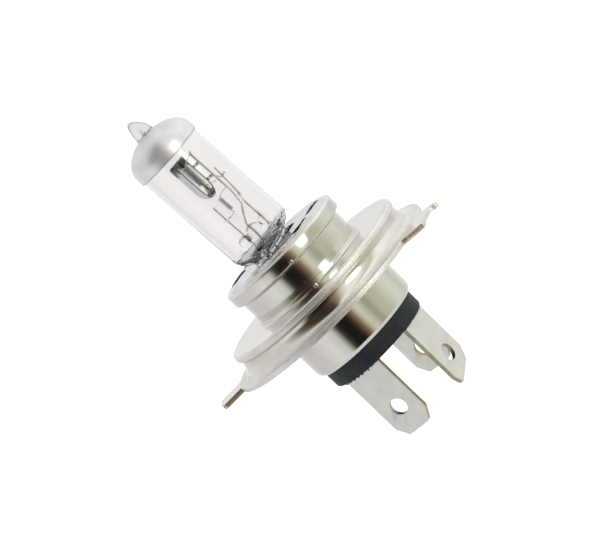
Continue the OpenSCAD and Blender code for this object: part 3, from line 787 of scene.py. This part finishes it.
# Moulding flash: a thin ragged skirt on the rear edge, in three places
FRINGE_HALF, FRINGE_STEPS, FRINGE_R = 27, 110, INSULATOR_R - 0.16
for turn in (0, 90, 180):
    fringe = bmesh.new()
    start = fringe.verts.new((FRINGE_R, 0, INSULATOR_Z + 0.5))
    stop = fringe.verts.new((FRINGE_R, 0, INSULATOR_Z))
    turn_z(fringe, turn - FRINGE_HALF)
    fringe.edges.new((start, stop))
    bmesh.ops.spin(fringe, geom=fringe.verts[:] + fringe.edges[:], cent=(0, 0, 0), axis=(0, 0, 1),
                   dvec=(0, 0, 0), angle=math.radians(2 * FRINGE_HALF), steps=FRINGE_STEPS, use_merge=False,
                   use_duplicate=False)
    bmesh.ops.remove_doubles(fringe, verts=fringe.verts, dist=1e-4)
    for vert in fringe.verts:
        if vert.co.z < INSULATOR_Z + 0.1:
            run = math.atan2(vert.co.y, vert.co.x) * INSULATOR_R
            tooth = noise.noise(Vector((run * 1.9, turn, 0)))
            tooth += 1.1 * noise.noise(Vector((run * 5.3, turn, 7)))
            vert.co.z -= max(-0.1, 0.34 * tooth + 0.02)
    bmesh.ops.recalc_face_normals(fringe, faces=fringe.faces)
    bmesh.ops.solidify(fringe, geom=fringe.faces[:], thickness=0.14)
    bmesh.ops.recalc_face_normals(fringe, faces=fringe.faces)
    join(body, fringe)
finish_piece("insulator_block", body, [insulation], ["insulator"])


def blade(name, end, hole_z, turn):
    """A flat blade with a hole, its end given as (x, z, rounding) points from its -X side."""
    w = BLADE_W / 2
    outline = [(w, BLADE_TOP, 0), (-w, BLADE_TOP, 0)] + [(x, z, 0, rounding) for x, z, rounding in end]
    bm = plate([outline, ring_points(BLADE_HOLE_R, 48, (0, hole_z))], BLADE_T)
    for face in bm.faces:
        face.material_index = 0 if abs(face.normal.z) > 0.5 else 1
    soften(bm, 0.08)
    shift(bm, (0, 0, -BLADE_T / 2))
    bmesh.ops.rotate(bm, cent=(0, 0, 0), matrix=Matrix.Rotation(math.radians(90), 3, "X"), verts=bm.verts)
    shift(bm, (0, BLADE_OFFSET, 0))
    turn_z(bm, turn)
    finish_piece(name + "_blade", bm, [blade_metal, blade_edge], [name], weighted=True)


blade("low_beam_terminal", [(-4, -22.4, 1.5), (-2.3, -24.4, 1.2), (3.1, -25.9, 0.3), (4, -24.2, 0.9)],
      hole_z=-20.9, turn=0)
blade("high_beam_terminal", [(-4, -23.6, 0.9), (-2.4, -26.0, 0.6), (2.5, -26.1, 0.6), (4, -23.9, 0.9)],
      hole_z=-20.9, turn=-90)
blade("earth_terminal", [(-4, -21.8, 0.9), (-2.6, -24.0, 0.5), (2.6, -24.0, 0.5), (4, -21.8, 0.9)],
      hole_z=-19.6, turn=90)

# The hidden pieces keep their own meshes
for node, finish in (("low_beam_foil", foil), ("common_foil", foil), ("high_beam_foil", foil),
                     ("low_beam_tail", lead_metal), ("common_tail", lead_metal),
                     ("high_beam_tail", lead_metal), ("pinch_clip", clip_steel)):
    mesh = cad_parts[node].data
    mesh.materials.clear()
    mesh.materials.append(finish)


# ------------------------------------------------------ floor, light and camera

AZIMUTH, ELEVATION, ROLL = math.radians(36.222), math.radians(8.038), math.radians(-46.143)
DISTANCE, SIDE, RISE = 400, 4.819, -3.305  # millimetres back, left and down from the origin
LENS, SENSOR_WIDTH = 139.65, 36
towards = Vector((math.cos(AZIMUTH) * math.cos(ELEVATION), math.sin(AZIMUTH) * math.cos(ELEVATION),
                  math.sin(ELEVATION)))
level = Vector((0, 0, 1)).cross(towards).normalized()
upright = towards.cross(level)
right = math.cos(ROLL) * level + math.sin(ROLL) * upright
above = -math.sin(ROLL) * level + math.cos(ROLL) * upright
camera = bpy.data.objects.new("camera", bpy.data.cameras.new("camera"))
camera.data.lens, camera.data.sensor_width, camera.data.sensor_fit = LENS, SENSOR_WIDTH, "HORIZONTAL"
camera.data.clip_start, camera.data.clip_end = 0.01, 50
camera.matrix_world = Matrix.Translation((DISTANCE * towards - SIDE * right - RISE * above) * MM) @ Matrix(
    (right, above, towards)).transposed().to_4x4()
bpy.context.scene.collection.objects.link(camera)
bpy.context.scene.camera = camera
bpy.context.scene.view_settings.view_transform = "Standard"

FLOOR_R, FLOOR_GAP = 6, 0.0002  # metres
floor_bm = bmesh.new()
bmesh.ops.create_circle(floor_bm, cap_ends=True, segments=96, radius=FLOOR_R)
shift(floor_bm, (0, 0, cad_box[0][2] - FLOOR_GAP))
floor_mesh = bpy.data.meshes.new("floor")
floor_bm.to_mesh(floor_mesh)
floor_bm.free()
floor = bpy.data.objects.new("floor", floor_mesh)
floor_finish = new_finish("pale_floor", Base_Color=(0.92, 0.92, 0.92, 1), Roughness=0.9,
                          Emission_Color=(1, 1, 1, 1), Emission_Strength=0.75)[0]
floor_mesh.materials.append(floor_finish)
bpy.context.scene.collection.objects.link(floor)
floor.visible_glossy = False
floor.visible_transmission = False

# The room: what the metal reflects runs round the object as strips of light and shade
world = bpy.data.worlds.new("studio")
bpy.context.scene.world = world
world.use_nodes = True
room = world.node_tree
room.nodes.clear()
direction = add(room, "ShaderNodeTexCoord").outputs["Generated"]
bearing = maths(room, "ARCTAN2", along(room, direction, "Y"), along(room, direction, "X"))
from_camera = maths(room, "SUBTRACT", bearing, AZIMUTH)
around = spread(room, maths(room, "WRAP", from_camera, math.pi, -math.pi), -math.pi, math.pi)


def strips(stops):
    """Colours by the angle in degrees from the camera's side; stops runs from -180 to 180."""
    ramp = add(room, "ShaderNodeValToRGB", {"Fac": around})
    ramp.color_ramp.interpolation = "LINEAR"
    for i, (angle, colour) in enumerate(stops):
        place = (angle + 180) / 360
        if i < 2:  # a new ramp already has two stops
            stop = ramp.color_ramp.elements[i]
            stop.position = place
        else:
            stop = ramp.color_ramp.elements.new(place)
        stop.color = (*colour, 1)
    return ramp.outputs["Color"]


low_strips = strips([
    (-180, (0.95, 0.94, 0.94)), (-150, (0.85, 0.84, 0.84)), (-131, (0.80, 0.79, 0.81)),
    (-100, (0.84, 0.83, 0.85)), (-63, (1.0, 1.0, 1.0)), (-44, (0.82, 0.84, 0.80)),
    (-38, (0.42, 0.43, 0.40)), (-32, (0.06, 0.06, 0.045)), (-24, (0.016, 0.015, 0.014)),
    (-9, (0.02, 0.015, 0.012)), (-4, (0.05, 0.033, 0.022)), (2, (0.17, 0.11, 0.07)),
    (7, (0.32, 0.22, 0.14)), (13, (0.66, 0.62, 0.46)), (19, (0.87, 0.87, 0.75)),
    (27, (0.74, 0.74, 0.62)), (36, (0.48, 0.49, 0.37)), (42, (0.50, 0.50, 0.38)),
    (50, (0.68, 0.68, 0.55)), (67, (0.71, 0.71, 0.56)), (88, (0.90, 0.92, 0.84)),
    (105, (0.96, 0.98, 0.92)), (126, (0.84, 0.85, 0.84)), (155, (0.95, 0.94, 0.94)),
    (180, (0.95, 0.94, 0.94))])
high_strips = strips([
    (-180, (0.95, 0.94, 0.95)), (-150, (0.95, 0.95, 0.96)), (-105, (0.86, 0.86, 0.86)),
    (-75, (0.86, 0.87, 0.86)), (-62, (0.60, 0.60, 0.56)), (-48, (0.20, 0.17, 0.13)),
    (-36, (0.07, 0.05, 0.04)), (-15, (0.04, 0.03, 0.025)), (-4, (0.10, 0.07, 0.05)),
    (5, (0.40, 0.30, 0.20)), (14, (1.0, 0.93, 0.78)), (24, (1.2, 1.19, 1.14)),
    (42, (1.2, 1.2, 1.2)), (52, (0.9, 0.92, 0.8)), (62, (0.80, 0.82, 0.70)),
    (72, (1.3, 1.3, 1.3)), (90, (1.3, 1.3, 1.3)), (110, (1.15, 1.15, 1.15)),
    (150, (1.0, 1.0, 1.0)), (180, (0.95, 0.94, 0.95))])
height = along(room, direction, "Z")
risen = smooth_step(room, height, -0.09, 0.10)
sunk = spread(room, height, -0.52, -0.66)
seen = blend(room, sunk, blend(room, risen, low_strips, high_strips), (0.95, 0.93, 0.88, 1))
straight = add(room, "ShaderNodeLightPath").outputs["Is Camera Ray"]
background = add(room, "ShaderNodeBackground",
                 {"Color": blend(room, straight, seen, (1, 1, 1, 1)), "Strength": 1.0})
room_output = add(room, "ShaderNodeOutputWorld")
room.links.new(background.outputs[0], room_output.inputs["Surface"])


def tall_panel(name, bearing, away, width, foot, head, glow):
    """A soft-edged upright light panel, bearing degrees from the camera's side, seen only in reflections."""
    bm = bmesh.new()
    bmesh.ops.create_grid(bm, x_segments=1, y_segments=1, size=0.5)
    bmesh.ops.scale(bm, vec=(width, head - foot, 1), verts=bm.verts)
    mesh = bpy.data.meshes.new(name)
    bm.to_mesh(mesh)
    bm.free()
    finish = bpy.data.materials.new(name)
    finish.use_nodes = True
    tree = finish.node_tree
    tree.nodes.clear()
    local = add(tree, "ShaderNodeTexCoord").outputs["Object"]
    fades = [smooth_step(tree, maths(tree, "ABSOLUTE", along(tree, local, axis)), reach, 0.3 * reach)
             for axis, reach in (("X", width / 2), ("Y", (head - foot) / 2))]
    faded = maths(tree, "POWER", maths(tree, "MULTIPLY", *fades), 2.0)
    light = add(tree, "ShaderNodeEmission",
                {"Color": (1, 1, 1, 1), "Strength": maths(tree, "MULTIPLY", faded, glow)})
    through = add(tree, "ShaderNodeBsdfTransparent")
    both = add(tree, "ShaderNodeAddShader", {0: light.outputs[0], 1: through.outputs[0]})
    output = add(tree, "ShaderNodeOutputMaterial")
    tree.links.new(both.outputs[0], output.inputs["Surface"])
    mesh.materials.append(finish)
    panel = bpy.data.objects.new(name, mesh)
    a = AZIMUTH + math.radians(bearing)
    outwards = Vector((math.cos(a), math.sin(a), 0))
    panel.matrix_world = (Matrix.Translation(outwards * away + Vector((0, 0, (foot + head) / 2)))
                          @ outwards.to_track_quat("Z", "Y").to_matrix().to_4x4())
    panel.visible_camera = panel.visible_diffuse = panel.visible_shadow = panel.visible_transmission = False
    bpy.context.scene.collection.objects.link(panel)


tall_panel("key_panel", bearing=32, away=0.2, width=0.1, foot=-0.035, head=0.085, glow=5.0)
